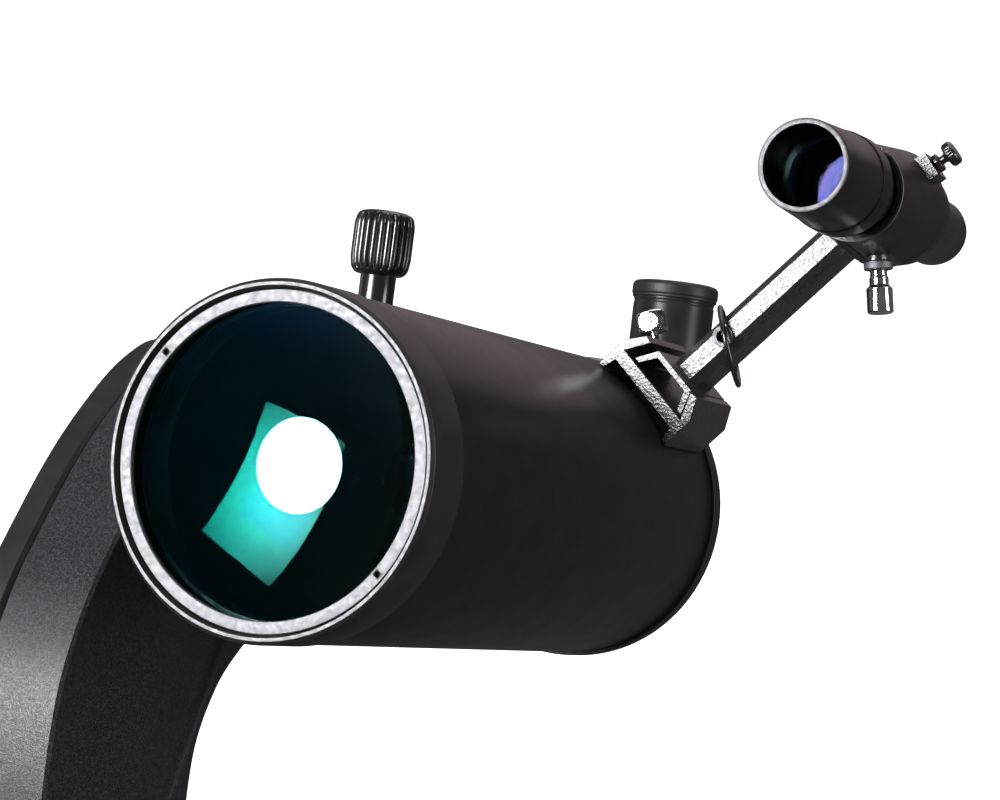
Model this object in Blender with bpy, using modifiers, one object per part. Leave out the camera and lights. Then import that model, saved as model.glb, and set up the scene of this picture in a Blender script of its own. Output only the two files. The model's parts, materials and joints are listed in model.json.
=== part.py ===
"""Maksutov telescope: a 102 mm tube with a finder, on a single-arm computerised mount.

World frame: metres, +Z up, the azimuth axis on Z, the tripod face at z = 0, the telescope
pointing towards -Y and the arm on the -X side. Lengths below are millimetres; MM turns them
into metres where an object is made.

The tube's own frame ("front") has its origin at the centre of the front rim, +Y running back
along the optical axis and +Z to the top of the tube. A distance along that Y is a "station".
"""

import math

import bmesh
import bpy
from mathutils import Matrix, Vector

MM = 0.001
GAP = 0.3  # between pieces that touch

# Driving dimensions
TUBE_R = 58.1
CELL_R = 58.73
APERTURE_R = 51.0
TUBE_START, TUBE_END = 22.8, 256.3
CELL_END = 264.7
TUBE_PITCH = 17.1  # the tube points this far above the horizon at rest
ALTITUDE_STATION = 170.0
ALTITUDE_AXIS = (0.0, 45.0, 262.0)

ARM_INNER_X, ARM_SEAM_X, ARM_OUTER_X = -97.0, -130.0, -141.5
ARM_SWELL_X = -148.2  # the outer cover is deeper below this slope
ARM_SWELL_TOP, ARM_SWELL_LOW = -25.0, -80.0
ARM_WALL = 2.8
ARM_FOOT_Z = 17.3 - ALTITUDE_AXIS[2]

DRUM_R, DRUM_WALL = 80.0, 3.0
DRUM_BOTTOM, DRUM_TOP = 19.0, 58.0
FLOOR_BOTTOM, FLOOR_TOP = 21.0, 24.0
BRIDGE_FRONT, BRIDGE_REAR = -72.0, 18.0
PANEL_X, PANEL_HALF, PANEL_LOW, PANEL_HIGH = 73.5, 24.0, 29.0, 50.0
SWITCH_TILT = 7.0  # the rocker rests on its off side

SHOE_CLOCK = 43.0  # degrees round the tube from its top towards +X
SHOE_FRONT, SHOE_REAR = 210.5, 250.0
BRACKET_SHIFT = 1.5  # the lock screw pushes the bracket's foot this far to one side
FINDER_RADIUS = 172.5  # from the optical axis to the finder's axis
FINDER_FRONT, FINDER_SEAM, FINDER_STEP = 138.5, 173.5, 184.5
SLEEVE_FRONT, SLEEVE_REAR = 198.5, 240.5
SLEEVE_FRONT_R, SLEEVE_REAR_R, SLEEVE_WALL = 18.5, 22.6, 2.2
FINDER_TUBE_R = 15.0
FINDER_SCREW_STATION = 232.0
FINDER_SCREW_CLOCKS = {"a": 7.0, "b": -113.0}  # from the shoe's own direction
PLUNGER_CLOCK, PLUNGER_STATION = 127.0, 225.0

HOLDER_STATION, HOLDER_ROLL = 341.0, -0.4
HOLDER_R, HOLDER_BORE_R = 17.1, 15.9
HOLDER_BASE, HOLDER_TOP = 24.3, 93.3
CAP_R, CAP_HEIGHT = 18.2, 5.7
NOSE_R, NOSE_BORE_R = 15.85, 13.5
FOCUS_X, FOCUS_Z = 27.0, -27.0
KNOB_X, KNOB_STATION = -71.0, 202.0
KNOB_BOTTOM, KNOB_TOP = 79.5, 104.5
ALTITUDE_WORM_Y = -37.2
GEAR_X = -122.0
AZIMUTH_WORM_X = 41.2
WORM_Z = 33.0

PARTS = "maksutov_telescope"
CUTTERS = "cutters"

# colour, roughness, metallic
MATERIALS = {
    "black_paint": ((0.012, 0.012, 0.013), 0.38, 0.0),
    "hammered_paint": ((0.02, 0.02, 0.022), 0.3, 0.4),
    "grey_plastic": ((0.045, 0.045, 0.05), 0.45, 0.0),
    "black_plastic": ((0.015, 0.015, 0.016), 0.4, 0.0),
    "black_rubber": ((0.01, 0.01, 0.01), 0.7, 0.0),
    "silver": ((0.8, 0.8, 0.8), 0.35, 1.0),
    "chrome": ((0.85, 0.85, 0.85), 0.08, 1.0),
    "steel": ((0.55, 0.55, 0.56), 0.3, 1.0),
    "brass": ((0.72, 0.52, 0.24), 0.3, 1.0),
    "glass": ((0.6, 0.8, 0.75), 0.02, 0.0),
    "mirror": ((0.92, 0.92, 0.92), 0.02, 1.0),
    "board": ((0.02, 0.16, 0.07), 0.5, 0.0),
}


def clear_scene():
    for item in list(bpy.data.objects):
        bpy.data.objects.remove(item, do_unlink=True)


def collection(name):
    found = bpy.data.collections.get(name)
    if found is None:
        found = bpy.data.collections.new(name)
        bpy.context.scene.collection.children.link(found)
    return found


def material(name):
    found = bpy.data.materials.get(name)
    if found:
        return found
    colour, roughness, metallic = MATERIALS[name]
    made = bpy.data.materials.new(name)
    made.use_nodes = True
    shader = made.node_tree.nodes["Principled BSDF"]
    shader.inputs["Base Color"].default_value = (*colour, 1.0)
    shader.inputs["Roughness"].default_value = roughness
    shader.inputs["Metallic"].default_value = metallic
    return made


def frame(name, at, turn=(0, 0, 0), parent=None):
    """An empty at a joint's axis or a sub-assembly's origin; turn is in degrees."""
    empty = bpy.data.objects.new(name, None)
    empty.empty_display_size = 0.02
    collection(PARTS).objects.link(empty)
    empty.parent = parent
    empty.location = [v * MM for v in at]
    empty.rotation_euler = [math.radians(v) for v in turn]
    return empty


def place(name, mesh, finish, parent, at=(0, 0, 0), turn=(0, 0, 0), smooth=False):
    """Wrap a mesh in an object; a finish of None makes it a cutter."""
    item = bpy.data.objects.new(name, mesh)
    collection(PARTS if finish else CUTTERS).objects.link(item)
    item.parent = parent
    item.location = [v * MM for v in at]
    item.rotation_euler = [math.radians(v) for v in turn]
    if finish:
        mesh.materials.append(material(finish))
    else:
        item.hide_render = True
        item.display_type = "WIRE"
    if smooth:
        mesh.shade_smooth()
    return item


def block(name, low, high, finish, parent, bevel=0.0, turn=(0, 0, 0)):
    """A box between two corners, with rounded edges where bevel is given."""
    mesh = bpy.data.meshes.new(name)
    shape = bmesh.new()
    size = [b - a for a, b in zip(low, high)]
    bmesh.ops.create_cube(shape, size=1.0, matrix=Matrix.Diagonal([s * MM for s in size] + [1]))
    shape.to_mesh(mesh)
    shape.free()
    centre = [(a + b) / 2 for a, b in zip(low, high)]
    item = place(name, mesh, finish, parent, centre, turn)
    if bevel:
        round_edges(item, bevel)
    return item


def round_edges(item, width, segments=2):
    bevel = item.modifiers.new("rounded edges", "BEVEL")
    bevel.width = width * MM
    bevel.segments = segments
    bevel.limit_method = "ANGLE"
    bevel.angle_limit = math.radians(40)


def turned(name, outline, finish, parent, at=(0, 0, 0), turn=(0, 0, 0), steps=24):
    """Revolve (radius, height) points round local Z.

    The outline runs down its outer side. Starting on the axis it makes a solid, and starting
    off the axis it is closed into a ring.
    """
    mesh = bpy.data.meshes.new(name)
    shape = bmesh.new()
    points = [shape.verts.new((r * MM, 0, z * MM)) for r, z in outline]
    for first, second in zip(points, points[1:]):
        shape.edges.new((first, second))
    if outline[0][0] > 0:
        shape.edges.new((points[-1], points[0]))
    shape.to_mesh(mesh)
    shape.free()
    item = place(name, mesh, finish, parent, at, turn, smooth=True)
    spin = item.modifiers.new("turned", "SCREW")
    spin.steps = spin.render_steps = steps
    spin.use_merge_vertices = True
    spin.merge_threshold = 0.00001
    spin.use_smooth_shade = True
    return item


def along_tube(name, outline, finish, parent, at=(0, 0, 0), steps=24):
    """A turned piece on the optical axis, or parallel to it: (radius, station) points."""
    flipped = [(r, -station) for r, station in outline]
    return turned(name, flipped, finish, parent, at, (90, 0, 0), steps)


def across(name, outline, finish, parent, at=(0, 0, 0), steps=24):
    """A turned piece whose heights run along +X."""
    return turned(name, outline, finish, parent, at, (0, 90, 0), steps)


def plate(name, loops, low, high, finish, parent, turn=(0, 0, 0)):
    """Extrude flat loops of (x, y) points from height low to high along local Z.

    A second loop inside the first is a hole. turn lays the plate in another plane.
    """
    curve = bpy.data.curves.new(name, "CURVE")
    curve.dimensions = "2D"
    curve.fill_mode = "BOTH"
    curve.extrude = (high - low) / 2 * MM
    for loop in loops:
        spline = curve.splines.new("POLY")
        spline.points.add(len(loop) - 1)
        spline.use_cyclic_u = True
        for point, (x, y) in zip(spline.points, loop):
            point.co = (x * MM, y * MM, 0, 1)
    outline = bpy.data.objects.new(name + "_outline", curve)
    bpy.context.scene.collection.objects.link(outline)
    graph = bpy.context.evaluated_depsgraph_get()
    mesh = bpy.data.meshes.new_from_object(outline.evaluated_get(graph))
    bpy.data.objects.remove(outline, do_unlink=True)
    shape = bmesh.new()
    shape.from_mesh(mesh)
    bmesh.ops.remove_doubles(shape, verts=shape.verts, dist=0.000001)
    bmesh.ops.translate(shape, verts=shape.verts, vec=(0, 0, (low + high) / 2 * MM))
    bmesh.ops.recalc_face_normals(shape, faces=shape.faces)
    shape.to_mesh(mesh)
    shape.free()
    mesh.name = name
    mesh.materials.clear()
    return place(name, mesh, finish, parent, turn=turn)


def shape_with(item, tool, operation="DIFFERENCE"):
    """Cut item with tool, or join tool to it; tool moves to the cutters."""
    change = item.modifiers.new(tool.name, "BOOLEAN")
    change.operation = operation
    change.solver = "EXACT"
    change.object = tool
    return item


def circle(radius, count=24, centre=(0, 0)):
    angles = [2 * math.pi * i / count for i in range(count)]
    return [(centre[0] + radius * math.cos(a), centre[1] + radius * math.sin(a)) for a in angles]


def gear_loop(root, tip, teeth):
    """A spur gear's outline: each tooth is a trapezoid."""
    loop = []
    for i in range(teeth):
        for share, radius in ((0.0, root), (0.3, tip), (0.5, tip), (0.8, root)):
            angle = 2 * math.pi * (i + share) / teeth
            loop.append((radius * math.cos(angle), radius * math.sin(angle)))
    return loop


def smooth_loop(points, sharp, parts=2):
    """A Catmull-Rom curve through closed points; the segment after a sharp index is straight."""
    loop = []
    count = len(points)
    for i in range(count):
        a, b, c, d = (Vector(points[(i + k) % count]) for k in (-1, 0, 1, 2))
        if i in sharp:
            loop.append(tuple(b))
            continue
        if (i - 1) % count in sharp:
            a = b * 2 - c
        if (i + 1) % count in sharp:
            d = c * 2 - b
        for step in range(parts):
            t = step / parts
            point = 0.5 * (2 * b + (c - a) * t + (2 * a - 5 * b + 4 * c - d) * t**2
                           + (3 * b - a - 3 * c + d) * t**3)
            loop.append(tuple(point))
    return loop


def inset(loop, distance):
    """Move each side of a clockwise loop inwards."""
    moved = []
    for i, here in enumerate(loop):
        before, after = Vector(loop[i - 1]), Vector(loop[(i + 1) % len(loop)])
        here = Vector(here)
        into = (here - before).normalized()
        out = (after - here).normalized()
        first = Vector((into.y, -into.x))
        second = Vector((out.y, -out.x))
        middle = (first + second).normalized()
        moved.append(tuple(here + middle * distance / max(0.3, middle.dot(first))))
    return moved


def worm_outline(radius, length, turns):
    """A worm's profile: V ridges on a core, centred on height 0."""
    core = radius - 1.4
    pitch = length / turns
    outline = [(0, length / 2 + 1), (core, length / 2 + 1)]
    for i in range(turns):
        top = length / 2 - i * pitch
        outline += [(core, top), (radius, top - pitch * 0.35), (radius, top - pitch * 0.55)]
    outline += [(core, -length / 2), (core, -length / 2 - 1), (0, -length / 2 - 1)]
    return outline


def knurled_loop(radius, depth, ribs):
    """A grip's cross-section: rounded ribs with narrow grooves."""
    loop = []
    for i in range(ribs):
        for share, drop in ((0.0, depth), (0.5, 0.0)):
            angle = 2 * math.pi * (i + share) / ribs
            loop.append(((radius - drop) * math.cos(angle), (radius - drop) * math.sin(angle)))
    return loop


# Mount base: everything that stays still on the tripod

def make_base(ground):
    top = 16.0
    rim = [(0, top), (83, top), (86, 13), (86, 3), (84.5, 0), (0, 0)]
    turned("base_plate", rim, "grey_plastic", ground, steps=44)
    race = [(47, 20.7), (65, 20.7), (65, top + GAP), (47, top + GAP)]
    turned("azimuth_thrust_bearing", race, "steel", ground, steps=30)
    spindle = [(0, 50), (10, 50), (11, 49), (11, 20), (30, 20), (30, top + GAP), (0, top + GAP)]
    turned("azimuth_spindle", spindle, "steel", ground)
    plate("azimuth_worm_wheel", [gear_loop(32.0, 34.0, 36), circle(11 + GAP)], 30, 36, "brass", ground)


# Turret: the drum and the arm, which turn together in azimuth

def turret_loop(inward):
    """Plan of the drum with its bridge to the arm, drawn in by a wall's thickness."""
    radius = DRUM_R - inward
    front, rear = BRIDGE_FRONT + inward, BRIDGE_REAR - inward
    side = ARM_INNER_X + GAP + inward
    start = math.atan2(front, -math.sqrt(radius**2 - front**2))
    end = math.pi - math.asin(rear / radius)
    count = 44
    angles = [start + (end - start) * i / count for i in range(count + 1)]
    arc = [(radius * math.cos(a), radius * math.sin(a)) for a in angles]
    return [(side, front)] + arc + [(side, rear)]


def make_drum(turret):
    housing = plate("turret_housing", [turret_loop(0)], DRUM_BOTTOM, DRUM_TOP, "grey_plastic", turret)
    hollow = plate("turret_hollow", [turret_loop(DRUM_WALL)], DRUM_BOTTOM - 5, DRUM_TOP - DRUM_WALL,
                   None, turret)
    window = block("panel_window", (PANEL_X - 3, -PANEL_HALF, PANEL_LOW),
                   (DRUM_R + 5, PANEL_HALF, PANEL_HIGH), None, turret)
    shape_with(housing, hollow)
    shape_with(housing, window)
    outer = [(DRUM_R - DRUM_WALL - GAP, FLOOR_TOP), (DRUM_R - DRUM_WALL - GAP, FLOOR_BOTTOM)]
    inner = [(11 + GAP, FLOOR_BOTTOM), (11 + GAP, FLOOR_TOP)]
    turned("turret_floor", outer + inner, "steel", turret, steps=44)


def make_panel(turret):
    """The plate with the power switch and the two sockets, on the drum's +X side."""
    edge = 0.4
    low = (PANEL_X, -PANEL_HALF + edge, PANEL_LOW + edge)
    high = (PANEL_X + 2, PANEL_HALF - edge, PANEL_HIGH - edge)
    panel = block("connector_panel", low, high, "black_plastic", turret)
    middle = (PANEL_LOW + PANEL_HIGH) / 2
    holes = {
        "switch_hole": ((-20, middle - 7.5), (-8, middle + 7.5)),
        "handset_hole": ((8, middle - 6), (20, middle + 6)),
    }
    for name, ((y0, z0), (y1, z1)) in holes.items():
        tool = block(name, (PANEL_X - 2, y0, z0), (PANEL_X + 5, y1, z1), None, turret)
        shape_with(panel, tool)
    across_hole = across("power_hole", [(0, 5), (5, 5), (5, -5), (0, -5)], None, turret,
                         (PANEL_X, 0, middle))
    shape_with(panel, across_hole)
    socket = [(0, 2.5), (1, 2.5), (1, -6), (3.2, -6), (3.2, 3), (4.6, 3), (4.6, -9), (0, -9)]
    across("power_socket", socket, "black_plastic", turret, (PANEL_X, 0, middle))
    jack = block("handset_socket", (PANEL_X - 9, 8.4, middle - 5.6), (PANEL_X + 2.6, 19.6, middle + 5.6),
                 "black_plastic", turret)
    mouth = block("handset_mouth", (PANEL_X - 6, 10, middle - 4), (PANEL_X + 6, 18, middle + 4),
                  None, turret)
    shape_with(jack, mouth)
    pivot = frame("power_switch_axis", (PANEL_X, -14, middle), (0, SWITCH_TILT, 0), turret)
    profile = [(-4, -6.6), (2.4, -6.6), (3.6, -6.2), (2.6, 0), (3.6, 6.2), (2.4, 6.6), (-4, 6.6)]
    plate("power_switch", [profile], -5.4, 5.4, "black_plastic", pivot, turn=(90, 0, 0))


def make_azimuth_drive(turret):
    axis = frame("azimuth_worm_axis", (AZIMUTH_WORM_X, 0, WORM_Z), parent=turret)
    turned("azimuth_worm", worm_outline(6.9, 22, 4), "steel", axis, turn=(90, 0, 0), steps=16)
    motor = [(0, 36), (8, 36), (8.4, 35.6), (8.4, 0.4), (8, 0), (0, 0)]
    turned("azimuth_motor", motor, "steel", turret, (AZIMUTH_WORM_X, 49, WORM_Z), (90, 0, 0), 24)
    board = block("control_board", (-88, -60, 50), (-22, 10, 51.6), "board", turret)
    chip = block("control_chip", (-64, -36, 51), (-46, -18, 53.4), None, turret)
    plug = block("control_header", (-38, -10, 51), (-28, 4, 54), None, turret)
    shape_with(board, chip, "UNION")
    shape_with(board, plug, "UNION")


# The arm: two moulded shells round a steel chassis, with the altitude drive inside

ARM_POINTS = [
    (0, 45), (22, 39), (39, 22), (45, 0), (42, -25), (28, -50), (6, -65), (-14, -71), (-33, -81),
    (-50, -101), (-59, -135), (-55, -170), (-42, -205), (-22, ARM_FOOT_Z), (-122, ARM_FOOT_Z),
    (-140, -200), (-154, -150), (-155, -105), (-141.5, -55), (-121.5, -24), (-94.5, 0.5),
    (-67.5, 20.5), (-39.5, 35.5), (-20, 42.5),
]
ARM_FOOT_INDEX = 13


def arm_loop(distance=0.0):
    loop = smooth_loop(ARM_POINTS, {ARM_FOOT_INDEX})
    return inset(loop, distance) if distance else loop


def cover_slope(name, hub, inward):
    """What the cover's outer face leaves clear above its swelling."""
    profile = [(ARM_OUTER_X + inward, 80), (ARM_OUTER_X + inward, ARM_SWELL_TOP),
               (ARM_SWELL_X + inward, ARM_SWELL_LOW), (ARM_SWELL_X - 20, ARM_SWELL_LOW),
               (ARM_SWELL_X - 20, 80)]
    return plate(name, [profile], -80, 180, None, hub, (90, 0, 0))


def make_cover(hub):
    upright = (90, 0, 90)
    low, high = ARM_SWELL_X, ARM_SEAM_X - GAP
    cover = plate("arm_outer_cover", [arm_loop()], low, high, "grey_plastic", hub, upright)
    hollow = plate("arm_cover_hollow", [arm_loop(ARM_WALL)], low + ARM_WALL, high + 5, None, hub, upright)
    shape_with(hollow, cover_slope("arm_cover_inner_slope", hub, ARM_WALL))
    shape_with(cover, cover_slope("arm_cover_slope", hub, 0))
    return shape_with(cover, hollow)


def make_arm(hub):
    """hub has its origin on the altitude axis and turns with the turret."""
    inner = plate("arm_inner_shell", [arm_loop()], ARM_SEAM_X, ARM_INNER_X, "grey_plastic", hub,
                  (90, 0, 90))
    hollow = plate("arm_inner_hollow", [arm_loop(ARM_WALL)], ARM_SEAM_X - 5, ARM_INNER_X - ARM_WALL,
                   None, hub, (90, 0, 90))
    shape_with(inner, hollow)
    outer = make_cover(hub)
    bore = across("arm_bore", [(0, 10), (22, 10), (22, -10), (0, -10)], None, hub, (ARM_INNER_X, 0, 0))
    shape_with(inner, bore)
    ring = [(12.4, 0), (21.7, 0), (21.7, -8.6), (12.4, -8.6)]
    across("altitude_bearing", ring, "steel", hub, (ARM_INNER_X, 0, 0))
    chassis = [(-20, 26), (12, 30), (24, 0), (6, -44), (-62, -96), (-72, -140), (-62, -205),
               (-70, -238), (-108, -238), (-132, -190), (-142, -120), (-110, -40)]
    plate("arm_chassis", [chassis, circle(13)], -109, -106, "steel", hub, (90, 0, 90))
    worm_axis = frame("altitude_worm_axis", (GEAR_X, ALTITUDE_WORM_Y, 0), parent=hub)
    turned("altitude_worm", worm_outline(6.9, 24, 4), "steel", worm_axis, steps=16)
    motor = [(0, 0), (12, 0), (12.4, -0.4), (12.4, -45.6), (12, -46), (0, -46)]
    turned("altitude_motor", motor, "steel", hub, (GEAR_X, ALTITUDE_WORM_Y, -20), steps=24)
    for i, (face_x, y, z) in enumerate(((ARM_OUTER_X, 30, -18), (ARM_SWELL_X, -128, -100)), start=1):
        hole = across(f"cover_hole_{i}", [(0, 9), (1.9, 9), (1.9, -9), (0, -9)], None, hub,
                      (face_x, y, z), 12)
        shape_with(outer, hole)
        head = [(0, 8), (1.6, 8), (1.6, -GAP), (3.2, -GAP), (3.2, -1.2), (2.5, -1.9), (0, -1.9)]
        across(f"arm_screw_{i}", head, "steel", hub, (face_x, y, z), 16)


# Altitude body: shaft, saddle and optical tube

def make_saddle(pivot):
    """pivot lies on the altitude axis and is pitched with the tube."""
    flange_x = ARM_INNER_X + 0.5
    shaft = [(0, 7), (30, 7), (31, 6), (31, 1), (30, 0), (12, 0), (12, -37), (0, -37)]
    across("altitude_shaft", shaft, "steel", pivot, (flange_x, 0, 0))
    plate("altitude_worm_wheel", [gear_loop(27.5, 29.7, 36), circle(12 + GAP)],
          GEAR_X - 3, GEAR_X + 3, "brass", pivot, (90, 0, 90))
    back, jaw_face = flange_x + 7 + GAP, -62.5
    channel_x, flank_x = -75.5, -70.3
    section = [(back, -36), (jaw_face, -36), (jaw_face, -17.9), (flank_x, -22.3), (channel_x, -22.3),
               (channel_x, 22.5), (flank_x, 22.5), (jaw_face, 18.1), (jaw_face, 38), (back, 38)]
    saddle = plate("saddle", [section], -46, 46, "black_paint", pivot, (90, 0, 0))
    round_edges(saddle, 1.2)
    screw_y = KNOB_STATION - ALTITUDE_STATION
    ear = block("saddle_ear", (back, screw_y - 10, 30), (jaw_face, screw_y + 10, 46), None, pivot)
    shape_with(saddle, ear, "UNION")
    drill = turned("saddle_drill", [(0, 60), (4.4, 60), (4.4, 20), (0, 20)], None, pivot,
                   (KNOB_X, screw_y, 0), steps=16)
    shape_with(saddle, drill)
    grip_axis = frame("saddle_knob_axis", (KNOB_X, screw_y, 0), parent=pivot)
    neck_top = KNOB_BOTTOM - GAP
    neck = [(0, neck_top), (7, neck_top), (7, 46.6), (4, 46.6), (4, 22.4), (0, 22.4)]
    turned("saddle_knob_screw", neck, "chrome", grip_axis)
    grip = plate("saddle_knob", [knurled_loop(11.6, 0.9, 18)], KNOB_BOTTOM, KNOB_TOP, "black_plastic",
                 grip_axis)
    dome = turned("saddle_knob_dome", [(0, KNOB_TOP), (8.6, KNOB_TOP), (10.8, KNOB_TOP - 0.9),
                                       (12.2, KNOB_TOP - 3.2), (12.2, KNOB_BOTTOM + 2.4),
                                       (10.6, KNOB_BOTTOM), (0, KNOB_BOTTOM)], None, grip_axis)
    shape_with(grip, dome, "INTERSECT")


def make_dovetail(front):
    """The bar on the tube's -X side that the saddle clamps."""
    y0, y1 = ALTITUDE_STATION - 80, ALTITUDE_STATION + 60
    bar = [(-62, -17.2), (-70.2, -21.8), (-75.2, -21.8), (-75.2, 22), (-70.2, 22), (-62, 17.4),
           (-54.5, 17.4), (-54.5, -17.2)]
    item = plate("dovetail_bar", [bar], -y1, -y0, "black_paint", front, (90, 0, 0))
    tube = along_tube("dovetail_relief", [(0, 0), (TUBE_R + GAP, 0), (TUBE_R + GAP, 300), (0, 300)],
                      None, front, steps=44)
    shape_with(item, tube)


def arc_points(radius, vertex, edge_r, count, edge_first=False):
    """Points of a lens surface whose rim lies ahead of its vertex: (distance off axis, station)."""
    points = []
    for i in range(count + 1):
        off = edge_r * i / count
        points.append((off, vertex - (radius - math.sqrt(radius**2 - off**2))))
    return points[::-1] if edge_first else points


def make_tube(front):
    along_tube("tube", [(TUBE_R, TUBE_START), (TUBE_R, TUBE_END), (TUBE_R - 1.8, TUBE_END),
                        (TUBE_R - 1.8, TUBE_START)], "black_paint", front, steps=48)
    cell = [(56.3, 0), (57.5, 0), (CELL_R, 1.2), (CELL_R, 22.5), (56, 22.5), (56, 31), (52.4, 31),
            (52.4, 16.3), (53.8, 16.3), (53.8, 4.2), (55.6, 4.2), (55.6, 2.2)]
    along_tube("front_cell", cell, "black_paint", front, steps=48)
    ring = [(51, 2.2), (51.3, 1.93), (55, 1.93), (55.27, 2.2), (55.27, 3.9), (51, 3.9)]
    item = along_tube("corrector_retaining_ring", ring, "silver", front, steps=48)
    for i, sign in enumerate((-1, 1), start=1):
        pin = along_tube(f"spanner_hole_{i}", [(0, 0), (1.0, 0), (1.0, 3.2), (0, 3.2)], None, front,
                         (sign * 42.9, 0, -sign * 31.2), 12)
        shape_with(item, pin)
    lens = arc_points(129.2, 16, 53.5, 4) + arc_points(124.3, 27.6, 53.5, 4, edge_first=True)
    along_tube("corrector_lens", lens, "glass", front, steps=36)
    spot = arc_points(124.3, 27.9, 15.5, 2) + arc_points(124.3, 28.6, 15.5, 2, edge_first=True)
    along_tube("secondary_mirror", spot, "mirror", front)


def make_rear(front):
    back = CELL_END
    cell = [(56, 248), (56, TUBE_END + GAP), (59.3, TUBE_END + GAP), (59.3, back - 1), (58.3, back),
            (13.3, back), (13.3, back - 4), (54, back - 4), (54, 248)]
    item = along_tube("rear_cell", cell, "black_paint", front, steps=48)
    drill = along_tube("focus_hole", [(0, back - 10), (4.3, back - 10), (4.3, back + 5), (0, back + 5)],
                       None, front, (FOCUS_X, 0, FOCUS_Z), 16)
    shape_with(item, drill)
    along_tube("baffle_tube", [(12, 110), (13, 112), (13, back), (10.5, back), (10.5, 112)],
               "black_paint", front)
    mirror = [(19, 231.6), (36, 230.3), (53, 228), (53, 240), (19, 240)]
    along_tube("primary_mirror", mirror, "mirror", front, steps=32)
    carrier = [(13.3, 216), (16, 216), (16, 240.3), (36, 240.3), (42, 240.3), (42, 243.3), (16.5, 243.3),
               (16.5, 248), (13.3, 248)]
    along_tube("mirror_carrier", carrier, "brass", front)
    rod = [(0, 246.5), (4, 246.5), (4, 268), (0, 268)]
    along_tube("focus_screw", rod, "steel", front, (FOCUS_X, 0, FOCUS_Z), 16)
    grip = plate("focus_knob", [knurled_loop(10.5, 0.7, 14)], -286, -268.3, "black_rubber",
                 frame("focus_axis", (FOCUS_X, 0, FOCUS_Z), parent=front), (90, 0, 0))
    round_edges(grip, 0.8, 1)
    seat = [(16.2, back + GAP), (23, back + GAP), (24, 266), (24, 270), (20, 272), (20, 284),
            (16.2, 284)]
    visual = along_tube("visual_back", seat, "black_paint", front)
    hub = frame("visual_back_screw_axis", (0, 278, 0), (0, 100, 0), front)
    drill = turned("visual_hole", [(0, 30), (1.9, 30), (1.9, 10), (0, 10)], None, hub, steps=12)
    shape_with(visual, drill)
    thumb_screw("visual_back_screw", hub, 16.2, 20.5, 27.5, 4.2)


def thumb_screw(name, hub, tip, collar, end, head_r):
    """A knurled-head screw along the hub's +Z: tip, underside of the head and end are radii."""
    outline = [(0, end), (head_r - 0.6, end), (head_r, end - 0.6), (head_r, collar + 1.6),
               (head_r - 0.6, collar + 1), (2.4, collar + 1), (2.4, collar), (1.6, collar), (1.6, tip),
               (0, tip)]
    return turned(name, outline, "chrome", hub, steps=16)


def make_diagonal(front):
    axis = frame("diagonal_axis", (0, HOLDER_STATION, 0), (0, HOLDER_ROLL, 0), front)
    nose = [(NOSE_BORE_R, 72), (NOSE_R, 72), (NOSE_R, 22.3), (NOSE_BORE_R, 22.3)]
    turned("diagonal_nosepiece", nose, "chrome", axis, turn=(90, 0, 0))
    profile = [(-22, -19), (3, -19), (22, 0), (22, 24), (-22, 24)]
    body = plate("diagonal_body", [profile], -19, 19, "black_plastic", axis, (90, 0, 90))
    round_edges(body, 1.5)
    cavity = [(-19.5, -14), (2, -14), (17, 1), (17, 19.5), (-19.5, 19.5)]
    hollow = plate("prism_cavity", [cavity], -14.5, 14.5, None, axis, (90, 0, 90))
    entry = turned("prism_entry", [(0, 30), (12.5, 30), (12.5, 10), (0, 10)], None, axis,
                   turn=(90, 0, 0), steps=24)
    leave = turned("prism_exit", [(0, 30), (12.5, 30), (12.5, 10), (0, 10)], None, axis, steps=24)
    for tool in (hollow, entry, leave):
        shape_with(body, tool)
    prism = [(-14, -13.4), (1.5, -13.4), (14, -1), (14, 14), (-14, 14)]
    plate("diagonal_prism", [prism], -14, 14, "glass", axis, (90, 0, 90))
    tube = [(HOLDER_BORE_R, HOLDER_TOP), (HOLDER_R, HOLDER_TOP), (HOLDER_R, HOLDER_BASE),
            (12.6, HOLDER_BASE), (12.6, 56), (HOLDER_BORE_R, 56)]
    holder = turned("eyepiece_holder", tube, "black_plastic", axis, steps=32)
    hub = frame("holder_screw_axis", (0, 0, 80), (-90, 0, 35), axis)
    drill = turned("holder_hole", [(0, 25), (1.9, 25), (1.9, 8), (0, 8)], None, hub, steps=12)
    shape_with(holder, drill)
    thumb_screw("eyepiece_screw", hub, 15.9, 17.5, 24, 3.6)
    top = HOLDER_TOP + CAP_HEIGHT
    skirt_r = HOLDER_R + GAP
    lid = [(0, top), (CAP_R - 2.9, top), (CAP_R - 0.8, top - 0.6), (CAP_R, top - 2), (CAP_R, top - 7.2),
           (skirt_r, top - 7.2), (skirt_r, HOLDER_TOP + GAP), (15.5, HOLDER_TOP + GAP),
           (15.5, top - 11), (14, top - 11), (14, top - 1.8), (0, top - 1.8)]
    turned("diagonal_dust_cap", lid, "black_rubber", axis, steps=32)


# Finder: shoe, bracket and scope, built in a frame turned to the shoe's direction

SHOE_SECTION = [
    (-20.9, 54.7), (-20.9, 68.4), (-15.8, 76.2), (-12.4, 75.8), (-17.6, 66.0), (17.6, 66.0),
    (12.4, 75.8), (15.8, 76.2), (20.9, 68.4), (20.9, 54.7), (18.2, 55.6), (17.2, 60.8),
    (-17.2, 60.8), (-18.2, 55.6),
]


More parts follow.
